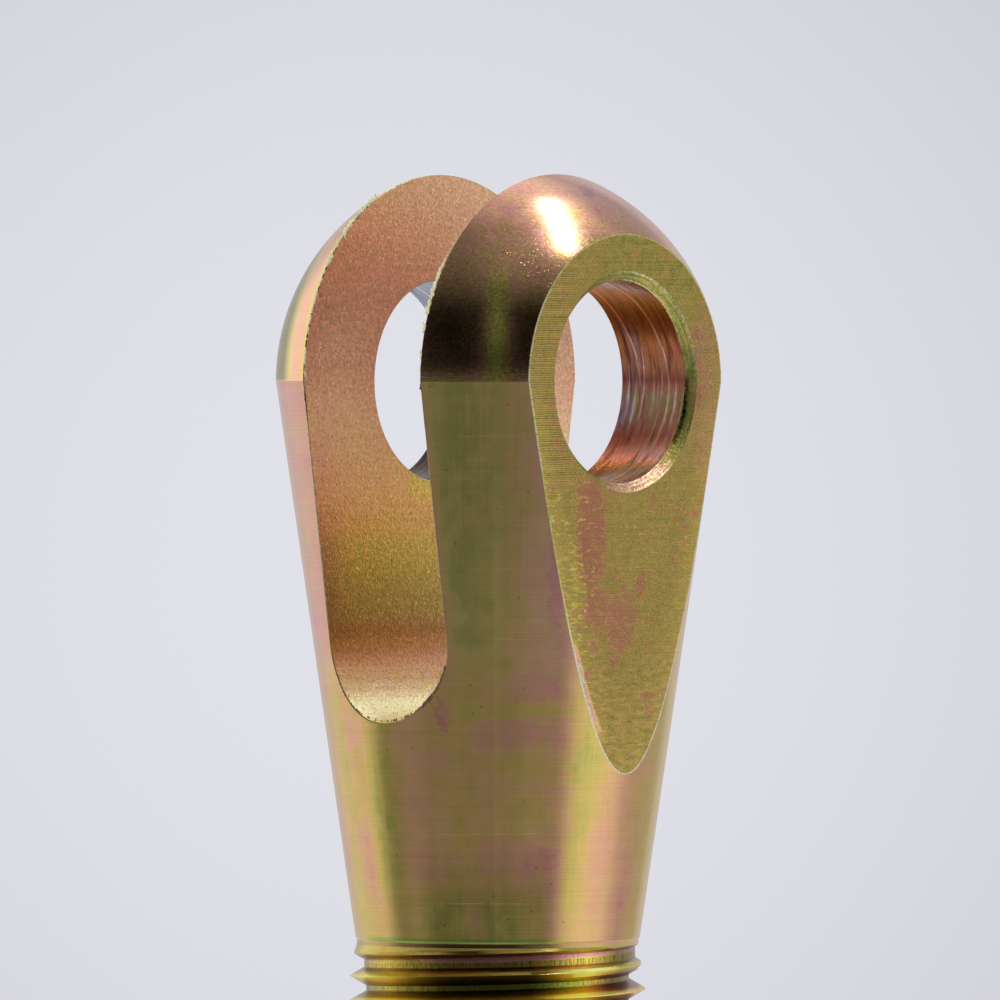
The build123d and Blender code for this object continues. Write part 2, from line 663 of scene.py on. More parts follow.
def roll_rim(points):
    """Pushes the front rim of the slot's floor in and out, and leaves the taper's cone true."""
    x, y, z = points.T
    turned_to = np.degrees(np.arctan2(x, slot_centre_z - z))
    ring = np.hypot(x, y)
    depth = taper_radius(z) - ring
    from_rim = np.hypot(x, z - slot_centre_z) - slot_x
    weight = np.exp(-((depth / rim_depth) ** 2) - (from_rim / rim_width) ** 2)
    weight = np.where((y < 0) & (z < slot_centre_z) & (ring > slot_x), weight, 0)
    push = np.interp(turned_to, rim_turns, rim_offsets) * MM * weight
    new_x = x + push * np.sin(np.radians(turned_to))
    new_z = z - push * np.cos(np.radians(turned_to))
    new_ring = np.maximum(taper_radius(new_z) - depth, abs(new_x))
    new_y = np.where(push == 0, y, -np.sqrt(new_ring**2 - new_x**2))
    return points_at(new_x, new_y, new_z)


# %% One closed mesh
points, faces = roll_rim(np.concatenate(skin.points)), np.concatenate(skin.faces)
finish_index = [FINISHES.index(finish) for finish in skin.finishes]
mesh = bpy.data.meshes.new("plated_clevis_rod_end")
mesh.from_pydata(points.tolist(), [], faces.tolist())
for finish in FINISHES:
    mesh.materials.append(bpy.data.materials[finish])
mesh.polygons.foreach_set("material_index", finish_index)

form = bmesh.new()
form.from_mesh(mesh)
for part_mesh, finish in ((thread_mesh, "thread"), (near_bore, "bore"), (far_bore, "bore")):
    known = len(form.faces)
    form.from_mesh(part_mesh)
    form.faces.ensure_lookup_table()
    for face in form.faces[known:]:
        face.material_index = FINISHES.index(finish)
bmesh.ops.remove_doubles(form, verts=form.verts, dist=WELD)
bmesh.ops.dissolve_degenerate(form, edges=form.edges, dist=WELD / 10)
bmesh.ops.recalc_face_normals(form, faces=form.faces)
open_edges = [edge for edge in form.edges if len(edge.link_faces) != 2]

CRISP = radians(20)
for face in form.faces:
    face.smooth = True
for edge in form.edges:
    if len(edge.link_faces) != 2:
        continue
    one, other = edge.link_faces
    on_equator = all(abs(vert.co.z) < WELD for vert in edge.verts)
    turned = FINISHES[one.material_index] == "turned"
    changes = one.material_index != other.material_index
    edge.smooth = not (changes or (on_equator and turned) or edge.calc_face_angle() > CRISP)
form.to_mesh(mesh)
form.free()
mesh.update()
triangles = sum(len(face.vertices) - 2 for face in mesh.polygons)
print(f"one skin: {triangles} triangles, {len(open_edges)} open edges")

# %% The finished piece
rod_end = add_object("plated_clevis_rod_end", mesh)
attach(rod_end, "root")
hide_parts("clevis_rod_end")

# %% [markdown]
# ## Burrs
#
# The slotting cutter pushed a little steel over the edges where it left the ears. The plating
# thickens on these crumbs. They follow an edge, so a Geometry Nodes tree strews them: each crumb
# gets a place along the slot, measured as length from the floor's lowest line, and the tree works
# out where that is on the ball or on the taper. Seeds are fixed, so every run gives the same ones.


# %% Crumbs along an edge
def along_slot(z):
    """Length along the slot's edge, from its lowest line up to a height on the wall."""
    return slot_x * pi / 2 + z - slot_centre_z


burr_inputs = {"Count": 10, "From": 0.0, "To": 0.0, "Side": 1.0, "Size": 0.0, "Seed": 0}
tree, given = new_tree("burrs", burr_inputs)
crumbs = make_node(tree, "GeometryNodePoints", Count=given["Count"])


def chance(low, high, seed, kind="FLOAT", output="Value_001"):
    """A random number or vector for each crumb."""
    settings = {"data_type": kind}
    names = {"FLOAT": ("Min_001", "Max_001"), "FLOAT_VECTOR": ("Min", "Max")}[kind]
    values = {names[0]: low, names[1]: high, "Seed": given["Seed"] + seed}
    return make_node(tree, "FunctionNodeRandomValue", settings, output, **values)


length = given["From"] + (given["To"] - given["From"]) * chance(0.0, 1.0, 1)
turn = (length / slot_x).least(pi / 2)
x = turn.sine() * slot_x
z = slot_centre_z - turn.cosine() * slot_x + (length - slot_x * pi / 2).most(0)
ring = (head_radius**2 - z.most(0) ** 2) ** 0.5 + z.least(0) * taper
y = -((ring * ring - x * x) ** 0.5)
y = y.most(low[1] + given["Size"])
position = vector(tree, x * given["Side"], y, z)
placed = make_node(tree, "GeometryNodeSetPosition", Geometry=crumbs, Position=position)
crumb = make_node(tree, "GeometryNodeMeshIcoSphere", Subdivisions=1, Radius=given["Size"])
turned_crumb = chance((-0.1, -0.25, -pi), (0.5, 0.25, pi), 2, "FLOAT_VECTOR", "Value")
stretched = chance((0.3, 0.3, 0.6), (0.7, 0.7, 1.9), 3, "FLOAT_VECTOR", "Value")
scattered = make_node(tree, "GeometryNodeInstanceOnPoints", Points=placed, Instance=crumb,
                      Rotation=turned_crumb, Scale=stretched)
real = make_node(tree, "GeometryNodeRealizeInstances", Geometry=scattered)
painted = make_node(tree, "GeometryNodeSetMaterial", Geometry=real, Material=bpy.data.materials["burr"])
tree.links.new(painted.socket, tree.nodes.new("NodeGroupOutput").inputs["Geometry"])

# %% Where the cutter left its burrs
WALL_BURRS = [  # count, lowest and highest place in mm, ear, size in mm
    (7, 6.5, 7.4, 1, 0.18),
    (8, 5.2, 6.3, 1, 0.19),
    (7, 4.3, 5.0, 1, 0.22),
    (10, 7.4, 9.0, 1, 0.07),
    (5, 3.2, 3.6, 1, 0.15),
    (5, 1.6, 2.0, 1, 0.14),
    (4, 0.6, 0.9, 1, 0.14),
    (4, -0.4, -0.1, 1, 0.14),
    (90, -2.5, 8.0, -1, 0.11),
    (60, 7.5, 11.8, -1, 0.16),
]
FLOOR_BURRS = [  # the same, but by length from the floor's lowest line
    (40, 3.2, 6.2, 1, 0.11),
    (26, 0.2, 3.2, 1, 0.07),
    (24, 0.2, 5.5, -1, 0.07),
]
places = [(along_slot(start * MM), along_slot(end * MM)) for _, start, end, _, _ in WALL_BURRS]
places += [(start * MM, end * MM) for _, start, end, _, _ in FLOOR_BURRS]
burrs = bmesh.new()
for seed, (count, _, _, ear, size) in enumerate(WALL_BURRS + FLOOR_BURRS):
    start, end = places[seed]
    values = {"Count": count, "From": start, "To": end, "Side": float(ear), "Size": size * MM}
    burrs.from_mesh(grow("burrs", tree, {**values, "Seed": 10 * seed}))
burr_mesh = bpy.data.meshes.new("slot_burrs")
burrs.to_mesh(burr_mesh)
burrs.free()
burr_mesh.materials.append(bpy.data.materials["burr"])
slot_burrs = add_object("slot_burrs", burr_mesh)
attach(slot_burrs, "root")
print(f"burrs: {len(burr_mesh.polygons)} faces")

# %% [markdown]
# ## Yellow chromate
#
# The zinc is sealed in a bath that leaves a film less than a thousandth of a millimetre thick.
# Light that bounces inside the film gives it its colour, so the colour tells the thickness: lime
# where the film is thin, then gold, tan, peach and rose, and purple where it is thickest. Every
# finish here works out a thickness from 0 to 1 and looks it up in the same ramp, which is what
# holds the part together. Lengths in the materials are in millimetres.

# %% The film's colours and the start of each material
FILM = [
    (0.00, (0.42, 0.51, 0.12)),
    (0.07, (0.56, 0.51, 0.13)),
    (0.19, (0.70, 0.57, 0.16)),
    (0.40, (0.78, 0.54, 0.18)),
    (0.55, (0.82, 0.50, 0.24)),
    (0.68, (0.82, 0.43, 0.28)),
    (0.80, (0.76, 0.33, 0.29)),
    (0.91, (0.40, 0.22, 0.24)),
    (1.00, (0.36, 0.38, 0.44)),
]
# Pale zinc is also painted as light: on the slot's floor, the chamfer's foot and the upper crumbs.
ZINC = (0.96, 0.93, 0.66)  # hardly any film: on sharp edges


class Plating:
    """One finish: its shader, and where a point lies on the part, in millimetres."""

    def __init__(self, name, roughness, anisotropic=0.0):
        self.tree = bpy.data.materials[name].node_tree
        self.shader = self.tree.nodes["Principled BSDF"]
        self.shader.inputs["Metallic"].default_value = 1.0
        self.shader.inputs["Roughness"].default_value = roughness
        self.shader.inputs["Anisotropic"].default_value = anisotropic
        here = make_node(self.tree, "ShaderNodeTexCoord", output="Object")
        scaled = here.node("ShaderNodeVectorMath", {"operation": "SCALE"}, Vector=here, Scale=1 / MM)
        self.x = scaled.node("ShaderNodeSeparateXYZ", output="X", Vector=scaled)
        self.y, self.z = self.x.also("Y"), self.x.also("Z")
        self.radius = (self.x**2 + self.y**2) ** 0.5
        # degrees round the shank, from the side that faces the camera
        aside = self.y * front[0] - self.x * front[1]
        self.angle = aside.maths("ARCTAN2", self.x * front[0] + self.y * front[1]) * (180 / pi)
        # the same folded back at both sides, so that no finish has a seam behind the part
        self.turn = 95 - abs((self.angle + 85) % 360 - 180)
        self.place = self.x, self.y, self.z, self.turn

    def noise(self, x, y, z, detail=2.0, rough=0.5):
        """Smooth noise about 0, from -1 to 1. Each coordinate is in units of the pattern's size."""
        place = vector(self.tree, x, y, z)
        texture = place.node("ShaderNodeTexNoise", Vector=place, Scale=1.0, Detail=detail, Roughness=rough)
        return texture * 2 - 1

    def mottle(self, size, stretch=1.0, detail=3.0, shift=0.0):
        """Blotches of a size in millimetres, stretched along the shank."""
        return self.noise(self.x / size + shift, self.y / size, self.z / (size * stretch), detail)

    def spots(self, size, share, shift=0.0, stretch=1.0):
        """Round spots, one in some of the cells of a size in millimetres."""
        place = vector(self.tree, self.x / size + shift, self.y / size, self.z / (size * stretch))
        cell = place.node("ShaderNodeTexVoronoi", Vector=place, Scale=1.0)
        chance = cell.node("ShaderNodeSeparateColor", Color=cell.also("Color"))
        return cell.ramp(0.4, 0.2) * chance.maths("LESS_THAN", share)

    def graph(self, value, points):
        """A curve through points, given as {value: height}."""
        start, end = min(points), max(points)
        stops = [((at - start) / (end - start), (height,) * 3) for at, height in points.items()]
        place = value.ramp(start, end)
        return place.node("ShaderNodeValToRGB", {"stops": stops}, Fac=place)

    def film(self, thickness, light, warmth=0.0, bare=None):
        """The film's colour, made lighter or darker by a factor round 1, and zinc where bare is 1."""
        colour = make_node(self.tree, "ShaderNodeValToRGB", {"stops": FILM}, Fac=thickness)
        if bare is not None:
            settings = {"data_type": "RGBA"}
            colour = make_node(self.tree, "ShaderNodeMix", settings, "Result_Color", Factor_Float=bare,
                               A_Color=colour, B_Color=(*ZINC, 1))
        factors = vector(self.tree, light, light, light * (1 - warmth))
        tinted = colour.vector_maths("MULTIPLY", factors)
        plug(self.tree, self.shader.inputs["Base Color"], tinted)

    def oval(self, across, along, centre, reach, fray=0.0):
        """1 inside an oval, 0 outside, with a soft rim that a noise may fray."""
        distance = ((across - centre[0]) / reach[0]) ** 2 + ((along - centre[1]) / reach[1]) ** 2
        return (distance + fray).ease(1.3, 0.5)

    def about_bore(self):
        """Degrees round the bore: 0 on the +Y side, 90 at the top. And distance from its axis."""
        return self.z.maths("ARCTAN2", self.y) * (180 / pi), (self.y**2 + self.z**2) ** 0.5

    def relief(self, height):
        """Bumps, from a height in millimetres."""
        bumped = make_node(self.tree, "ShaderNodeBump", Height=height, Distance=MM)
        plug(self.tree, self.shader.inputs["Normal"], bumped)

    def roughness(self, value):
        plug(self.tree, self.shader.inputs["Roughness"], value)


def blend(first, second, share):
    return first + (second - first) * share


for finish in [*FINISHES, "burr"]:
    bpy.data.materials[finish].use_nodes = True

# %% [markdown]
# ## Turned surfaces
#
# The ball and the taper came off the lathe smooth, with lines as fine as the feed of the tool. Here
# the film is the whole look. It drains while the part hangs to dry, so its thickness changes round
# the shank far more than along it. Graphs by angle give that, one each for the upper part, the
# middle and the foot of the taper, and noise frays the places where they meet. Small ovals are the
# stains where drops dried. Turning lines, scratches and pricks change the light a little, and tilt
# the surface by thousandths of a millimetre. The ball mirrors the bright spots overhead, so the
# film is darkened a little with painted shade where the spot that lights the slot's floor would
# show. Painted light is drawn in elsewhere too: pale glints and flecks on the ball, a painted
# reflection of the doorway on it, a darker painted band beside its highlight, and a graph of
# light round the relief ring.

# %% Bright spots overhead, which the ball mirrors
def way_to(to_right, to_back, to_top):
    """A direction in the studio, by its shares of right, back and up."""
    return level_right * to_right - front * to_back + Vector((0, 0, to_top))


glow_way = way_to(0.429, 0.686, 0.588)
SPOT_HEART = 0.985  # cosine of the angle from a spot's centre at which it is full
CEILING_SPOTS = [  # its direction, the cosine where it starts, its strength
    (way_to(0.1, 0.46, 0.88).normalized(), 0.83, 0.3),
    (way_to(0.141, 0.595, 0.791).normalized(), 0.955, 0.35),
    (glow_way, 0.92, 0.42),
]

# %% Marks of the lathe
turned = Plating("turned", roughness=0.22, anisotropic=0.3)
x, y, z, turn = turned.place
ball = z.ramp(0, 0.15)
along = z + (z.most(0) ** 2) * 0.03
lines = turned.noise(along / 0.10, turn / 70, 0.0)
feed = turned.noise(along / 0.7, turn / 150, 3.0, detail=4.0)
wide = turned.noise(turn / 20, z / 2.1, 21.0, detail=4.0)
fray = wide * 1.4 + turned.mottle(0.7, 0.6, shift=41.0) * 1.6
blotch = turned.mottle(3.4, 1.3, detail=4.0)
patch = turned.mottle(1.0, 1.4, shift=7.0)
peel = turned.mottle(0.22, shift=15.0)
streak = turned.noise(turn / 6, z / 50, 1.0)
hatch = ((along + feed * 0.03) * (2 * pi / 0.135)).sine() * (1 - ball)
hairs = turned.noise(turn / 1.1, z / 9, 27.0, detail=3.0) * (1 - ball)

# %% Scratches and stains
SCRATCHES = [  # height, from and to in degrees, slant
    (-3.45, -14, 7, 0.001),
    (-4.9, -15, -2, 0.0),
    (-11.9, -10, 4, 0.004),
    (-16.3, -6, 12, -0.003),
    (-28.75, -24, 14, 0.002),
    (-33.2, -20, 20, 0.0),
]
STAINS = [  # degrees round, height, reach each way, change
    (17.5, -12.3, 3.5, 3.4, 0.18),
    (12, -19.3, 10, 0.9, 0.15),
    (4, -20.9, 22, 0.5, -0.2),
    (3, -22.4, 15, 1.1, 0.12),
    (13, -26.0, 12, 3.0, -0.1),
    (2, -30.2, 22, 1.2, 0.12),
    (-60, -26.0, 4, 2.2, -0.16),
    (-66, -32.5, 4, 1.8, -0.16),
    (-55, -31.0, 3.5, 3.0, 0.16),
    (33, -25.0, 6.5, 3.4, -0.16),
    (28, -31.5, 3.5, 3.0, -0.14),
    (40, -30.5, 6, 3.6, 0.12),
    (24, -16.6, 6, 1.3, 0.14),
    (-18.4, -21.1, 2.6, 1.1, 0.3),
]

# %% The film on the taper, from its upper part to its foot
upper = turned.graph(turn, {
    -110: 0.3, -80: 0.62, -62: 0.66, -19: 0.14, -10: 0.1, -5: 0.18, 0: 0.22, 4: 0.34, 9: 0.5,
    14: 0.56, 20: 0.52, 90: 0.48,
})
drained = turned.graph(turn, {
    -110: 0.3, -90: 0.6, -75: 0.5, -66: 0.3, -60: 0.56, -53: 0.42, -48: 0.12, -40: 0.2, -36: 0.5,
    -28: 0.6, -20: 0.5, -12: 0.36, -6: 0.5, 8: 0.52, 16: 0.56, 23: 0.62, 28: 0.34, 36: 0.44,
    43: 0.52, 52: 0.62, 60: 0.5, 70: 0.3, 110: 0.48,
})
foot = turned.graph(turn, {
    -110: 0.3, -75: 0.4, -61: 0.3, -51: 0.5, -43: 0.34, -33: 0.26, -23: 0.1, 0: 0.1, 11: 0.18,
    16: 0.34, 22: 0.58, 28: 0.4, 42: 0.55, 55: 0.68, 65: 0.4, 110: 0.48,
})
wave = z + blotch * 2
smudge = (blotch + patch * 0.4).ease(0.1, 0.4)
taper_film = blend(upper, drained, wave.ease(-15, -22))
taper_film = blend(taper_film, foot, (z + blotch).ease(-31.5, -34))
taper_film = taper_film + patch * 0.1 + streak * 0.1 + smudge * 0.1 + wide * 0.2 + hairs * 0.1
for aside, height, reach, tall, change in STAINS:
    stain = turned.oval(turn, z, (aside, height), (reach, tall), fray)
    taper_film += stain * change
taper_film = taper_film.most(0.08)
beside_slot = (x + patch * 0.3).within(4.5, 5.3, 0.2) * y.ramp(0, -1)
taper_film = blend(taper_film, 0.44 + patch * 0.2, beside_slot)
in_shade = z.ramp(-15, -8) * turn.ramp(-17, -12)

# %% The film on the ball
far_film = turned.graph(x, {
    -10: 0.1, -8.6: 0.1, -8.0: 0.12, -7.4: 0.34, -7.1: 0.2, -6.7: 0.56, -6.2: 0.66, -5.3: 0.62,
    -5.1: 0.25,
})
rosy = 0.58 + z.ramp(7, 11) * 0.12 + blotch * 0.25 + patch * 0.25 + peel * 0.3
# Painted reflection: an olive band on the ball, where it mirrors the lit doorway.
olive = turn.within(-3.4, 2.4, 1.2) * z.ease(8, 5.5)
rosy = blend(rosy, 0.1 + peel * 0.2, olive)
ball_film = blend(rosy, far_film + patch * 0.08, x.ramp(0, -1))
near_ball = ball * x.ramp(-5, 0)

# %% Light and bumps
scratched = 0
for height, start, end, slant in SCRATCHES:
    mark = abs(z - height - turn * slant + feed * 0.05).ramp(0.06, 0.01)
    scratched = mark * turn.within(start, end, 2) * (0.7 + patch) + scratched
pricks = turned.spots(0.5, 0.035, shift=3.0).ramp(0.75, 1.0) * (1 - ball)
strokes = turned.noise(along / 0.12, turn / 3, 9.0) * near_ball
# Glints and flecks are painted highlights: pale specks in the ball's colour; the glints also tilt the
# surface.
glints = turned.mottle(0.1, detail=1.0, shift=31.0).ramp(0.3, 0.6) * near_ball
glints *= z.within(5.5, 9, 1)
flecks = turned.mottle(0.12, 1.8, detail=1.0, shift=61.0).ramp(0.28, 0.5) * near_ball * z.ramp(1, 6)
light = 1 + feed * 0.06 + lines * 0.1 + patch * 0.12 + strokes * 0.22
light = light + flecks * 0.5 + peel * near_ball * 0.45
light = light + hatch * 0.045 + hairs * 0.08
light -= z.ramp(-29.5, -33.2) * turn.within(-30, 22, 6) * 0.3
light += turn.within(-1.6, 0.9, 0.8) * z.ramp(-4, -8) * 0.07
light = light + glints * 0.5 - in_shade * 0.13
# Painted shade: the ball is drawn darker left of its highlight.
light *= 1 - near_ball * z.within(3.5, 8.5, 1.5) * turn.ramp(22, 12) * 0.14
light = light * (1 - x.ramp(-6.9, -8.0) * ball * 0.5) + scratched * 0.16 - pricks * 0.22
facing_front = x * front[0] + y * front[1]
facing_glow = x * glow_way[0] + y * glow_way[1] + z * glow_way[2]
mirrored = facing_front * facing_glow * (2 * (MM / head_radius) ** 2) - glow_way.dot(front)
# Painted shade: the ball's colour is darkened where it mirrors the glow spot overhead.
painted_shade_over_glow = mirrored.ease(0.92, SPOT_HEART) * ball
light *= 1 - painted_shade_over_glow * 0.45

# %% The foot, the relief ring and a patch of chatter on the ball
whole_film = blend(taper_film, ball_film, ball)
lime = z.ramp(-35.36, -35.5) * turn.within(-66, 24, 10)
in_relief = z.ramp(-35.76, -35.82)
# Painted light and shade: how bright the relief ring is drawn at each angle round it.
relief_light = turned.graph(turn, {
    -90: 0.75, -52: 0.7, -34: 0.3, -20: 0.13, 6: 0.15, 18: 0.6, 28: 1.0, 90: 1.0,
})
whole_film = blend(blend(whole_film, 0.0, lime), 0.5 + patch * 0.2, in_relief)
upper_part = z.ease(-22, -16) * (1 - ball)
chatter_place = z - 8.85 + (turn + 0.95) * 0.195
chatter = chatter_place.within(-0.35, 0.35, 0.2) * turn.within(-6, 4, 1.5)
chatter *= ((turn * 0.17 - z * 0.7 + patch * 0.1) / 0.19 * 2 * pi).sine()
chatter *= 0.5 + patch
light += chatter.most(0) * 0.5
turned.film(whole_film, blend(light, relief_light, in_relief), warmth=0.02 - upper_part * 0.2)
turned.relief(lines * 0.0007 + feed * 0.0006 - scratched * 0.003 + peel * near_ball * 0.0014
              + glints * 0.008 + strokes * 0.001 + chatter * 0.01)
turned.roughness(0.2 + lines * 0.02 + patch * 0.03 + peel * near_ball * 0.04)

# %% [markdown]
# ## Milled flats
#
# A cutter leaves level grooves at its feed, which are clear beside the bore and rubbed away lower
# down. The flats are duller than the turned parts, and brown where the bath dried late. Those
# stains are ovals whose rims a noise has torn.

# %% Milled flats
milled = Plating("milled", roughness=0.36)
_, y, z, _ = milled.place
grooves = ((z + milled.noise(y / 6, z / 3, 1.0) * 0.1) * (2 * pi / 0.143)).sine()
cutter = milled.noise(z / 0.14, y / 9, 0.0, detail=1.0)
swirl = milled.noise(z / 0.6, y / 3, 5.0, detail=3.0)
blotch = milled.mottle(2.6, 1.2, detail=4.0, shift=3.0)
patch = milled.mottle(0.6, shift=11.0)
grains = milled.mottle(0.13, 0.8, detail=2.0, shift=2.0)
crisp = y.within(-10, -5.5, 1.5) * z.ramp(-8, -5) + 0.35
smears = milled.noise(y / 0.9, z / 0.28, 8.0)
frayed = patch * 1.4 + smears * 0.7 + grains * 0.6
brown = (blotch + patch * 0.7 + smears * 0.2).ease(0.2, 0.4) * 0.7
stain = milled.oval(y, z, (-3.4, -9.6), (1.6, 3.8), frayed)
lower_stain = milled.oval(y, z, (-0.3, -15.2), (1.6, 1.9), frayed * 1.2)
for across, height, wide, tall in ((-2.9, -14.4, 1.3, 1.6), (-3.2, -16.8, 0.5, 0.5), (1.4, -13.0, 0.6, 0.8)):
    stain = stain.most(milled.oval(y, z, (across, height), (wide, tall), frayed) * 0.8)
brown = brown.most(stain).most(lower_stain * 0.8) * (0.95 + smears * 0.35 + patch * 0.5)
pink_limb = milled.oval(y, z, (7.8, -0.5), (1.4, 6), patch * 0.8)
yellow = milled.oval(y, z, (-5.4, -13.0), (1.4, 3.0), patch * 0.8) * smears.ramp(-0.1, 0.4)
ploughed = z.ramp(-16, -19) * smears
dashes = milled.noise(y / 0.7, z / 0.24, 33.0, detail=1.0).ramp(0.2, 0.36)
dashes = dashes * z.ramp(-4, -9) * (y.ramp(-2.6, -4) * 0.75 + 0.25)
thick = 0.34 + patch * 0.22 + cutter * 0.2 + grains * 0.26 + brown * 0.5 + ploughed * 0.12
green_top = milled.oval(y, z, (2.5, 7.5), (5.0, 4.5), blotch * 0.5)
thick = thick - green_top * 0.16 + pink_limb * 0.2
thick = blend(thick, 0.2, yellow)

# %% Painted light along the rims, frost and sand on the flats
from_centre = (milled.radius**2 + z.most(0) ** 2) ** 0.5
under_taper = head_radius / MM + z.least(0) * taper - from_centre
# Painted light: from just above the bore's axis downwards, within a millimetre of its rim, the flat is drawn
# brighter, as an edge highlight.
rub_streaks_and_rim_light = under_taper.ramp(1.0, 0.1) * z.ramp(2, -4)
light = 0.57 + (grooves * 0.12 + cutter * 0.2) * crisp + swirl * 0.08 + grains * 0.42 + patch * 0.12
light = light + rub_streaks_and_rim_light * (0.14 + smears * 0.2) + ploughed * 0.2 + dashes * 0.4
frost = under_taper.ramp(0.2, 0.12) * z.within(-22, -17, 1) * y.ramp(0, -1)
frost *= 0.8 + patch
thick = blend((thick - dashes * 0.2).least(0.8), 1.0, frost)
light += frost * 1.4
sand = milled.mottle(0.16, 0.8, detail=1.0, shift=51.0).ramp(0.34, 0.5) * z.within(-15, 6, 3)
sand *= y.ramp(-3, 3)
light = light + yellow * 0.3 + brown * 0.02 + sand * 0.35
milled.film(thick - sand * 0.2, light, warmth=0.2 + brown * 0.2)
milled.relief(grooves * crisp * 0.0018 + cutter * 0.003 + grains * 0.008)

# %% [markdown]
# ## The slot
#
# A wide cutter tears the steel more than it slices it, so the slot is grainy and it sparkles.
# Grains of two sizes carry both the bumps and small changes of the film, and the sparkle is also
# painted into the colour as small highlights. Down the wall the film goes from peach to olive to
# red-brown, with painted light and shade along it, and the round floor, which looks up into the
# light, is painted the palest place on the part, partly as pale zinc.

# %% The slot
slotted = Plating("slot", roughness=0.36)
x, y, z, _ = slotted.place
leaning = y + z * 0.25
strokes = slotted.noise(x / 0.1, leaning / 0.11, z / 0.28)
grains = slotted.mottle(0.12, 0.75, detail=2.0)
coarse = slotted.mottle(0.3, 0.75, detail=2.0, shift=9.0)
blotch = slotted.mottle(4.0, shift=5.0)
patch = slotted.mottle(1.0, 0.8, shift=8.0)
passes = slotted.noise(y / 30, z / 0.35, 4.0)
# Sparkle is painted into the colour as small highlights, on top of the grains' own changes of tone and their
# bumps.
sparkle = (grains + coarse * 0.5).ramp(0.3, 0.5)
wavy = z + patch * 0.5 + blotch * 0.6
hue = slotted.graph(wavy, {
    -21.6: 0.38, -20.6: 0.47, -19.6: 0.6, -18.4: 0.62, -17.4: 0.68, -15.6: 0.66, -15.0: 0.34,
    -13.5: 0.26, -10.6: 0.28, -9.2: 0.48, -6: 0.58, 0: 0.64, 6: 0.66, 14: 0.58,
})
# Painted light and shade down the wall and on the floor: factors above 1 draw the floor brighter than its
# film.
shade = slotted.graph(z, {
    -21.6: 1.75, -20.4: 1.75, -19.4: 1.7, -18.4: 1.45, -17.2: 0.95, -16: 0.68, -14: 0.84, -11: 1.16,
    -7: 1.42, -3: 1.45, 1: 1.06, 5: 0.9, 10: 1.18, 14: 1.28,
})
outer = (y + patch * 0.7).ramp(-8.6, -11.6) * z.within(-16.5, -2, 2)
hue = blend(hue, 0.66, outer * 0.9)
shade *= 1 - outer * z.ramp(-6, -11) * 0.3
mossy = slotted.oval(y, z, (-1.6, -6.6), (1.6, 1.2), patch)
lip = (y + patch * 0.5).ramp(-12.1, -12.9) * z.within(-9, -1, 1)
hue = blend(hue, 0.2, mossy.most(lip * coarse.ramp(-0.1, 0.2) * 0.8))
on_floor = z.ramp(-17.6, -18.4)
hue = hue + blotch * 0.08 + grains * (0.1 + on_floor * 0.5) + coarse * (0.08 + on_floor * 0.3)
hue += strokes * 0.1
# Painted light: the floor's lowest part is mixed towards pale zinc so that it looks brighter.
painted_floor_light = (z + coarse * 1.5).ease(-19.3, -20.8) * 0.4
glitter = 0.93 + grains * 0.45 + coarse * 0.3 + passes * 0.08 + strokes * 0.4 + sparkle * 0.9
glitter += on_floor * (grains * 0.35 + coarse * 0.4 + passes * 0.2)
red_brown = z.within(-17.2, -15.3, 0.4)
slotted.film(hue, shade * glitter, warmth=red_brown * 0.4, bare=painted_floor_light)
slotted.relief((grains * 0.014 + coarse * 0.014 + strokes * 0.008) * (1 + on_floor * 0.5))
polished = z.ease(-17.5, -19.5)
slotted.roughness(0.36 - polished * 0.05 + z.ease(-19.8, -20.6) * 0.16)

# %% [markdown]
# ## The bore
#
# The boring tool left a helix, which is real geometry, and streaks of rose, grey and gold that run
# with it. They are noise, drawn out along the turn and squeezed across it. The light and shade
# inside are painted into the colour by the angle round the bore, and the far ear's bore is painted
# darker towards its bottom. One deep score winds through it, with a painted highlight along it.

# %% The bore
bored = Plating("bore", roughness=0.22)
x, _, z, _ = bored.place
bore_turn, _ = bored.about_bore()
rub_streaks_and_rim_light = bored.noise((x + bore_turn * 0.004) / 0.36, bore_turn / 30, 2.0)
rough_skin = bored.mottle(0.4, shift=6.0)
hue = bored.graph(bore_turn, {
    -110: 0.58, -75: 0.55, -60: 0.62, -50: 0.74, -36: 0.76, -25: 0.7, -8: 0.6, 1: 0.76, 8: 0.64,
    17: 0.7, 30: 0.74, 60: 0.7, 110: 0.66,
})
# Painted light and shade: how bright the bore is drawn at each angle round it.
shade = bored.graph(bore_turn, {
    -110: 0.7, -75: 0.5, -60: 0.55, -50: 1.1, -42: 1.6, -32: 1.25, -18: 1.9, -8: 1.9, 1: 1.0,
    9: 1.6, 22: 1.3, 30: 0.75, 45: 0.62, 60: 0.66, 110: 0.6,
})
greyed = bored.noise((x + bore_turn * 0.004) / 0.5, bore_turn / 34, 7.0)
greyed = greyed.ramp(-0.1, 0.25) * bore_turn.within(-32, 40, 12) * (0.35 + x.ramp(9, 6) * 0.65)
spiral = (x + bore_turn * 0.0155 - 6.44 + 1.2) % 2.4 - 1.2
score = abs(spiral).ramp(0.09, 0.03) * bore_turn.ramp(-5, 15)
gilded = bored.noise((x + bore_turn * 0.006) / 0.22, bore_turn / 40, 13.0).ramp(0.15, 0.5)
gilded *= bore_turn.within(-55, 5, 8)
salmon = (bore_turn + rub_streaks_and_rim_light * 6).within(-52, -40, 4)
reddened = bore_turn.within(-80, -52, 4)
pitted = rough_skin.ramp(0.1, 0.5) * bore_turn.within(28, 70, 8)
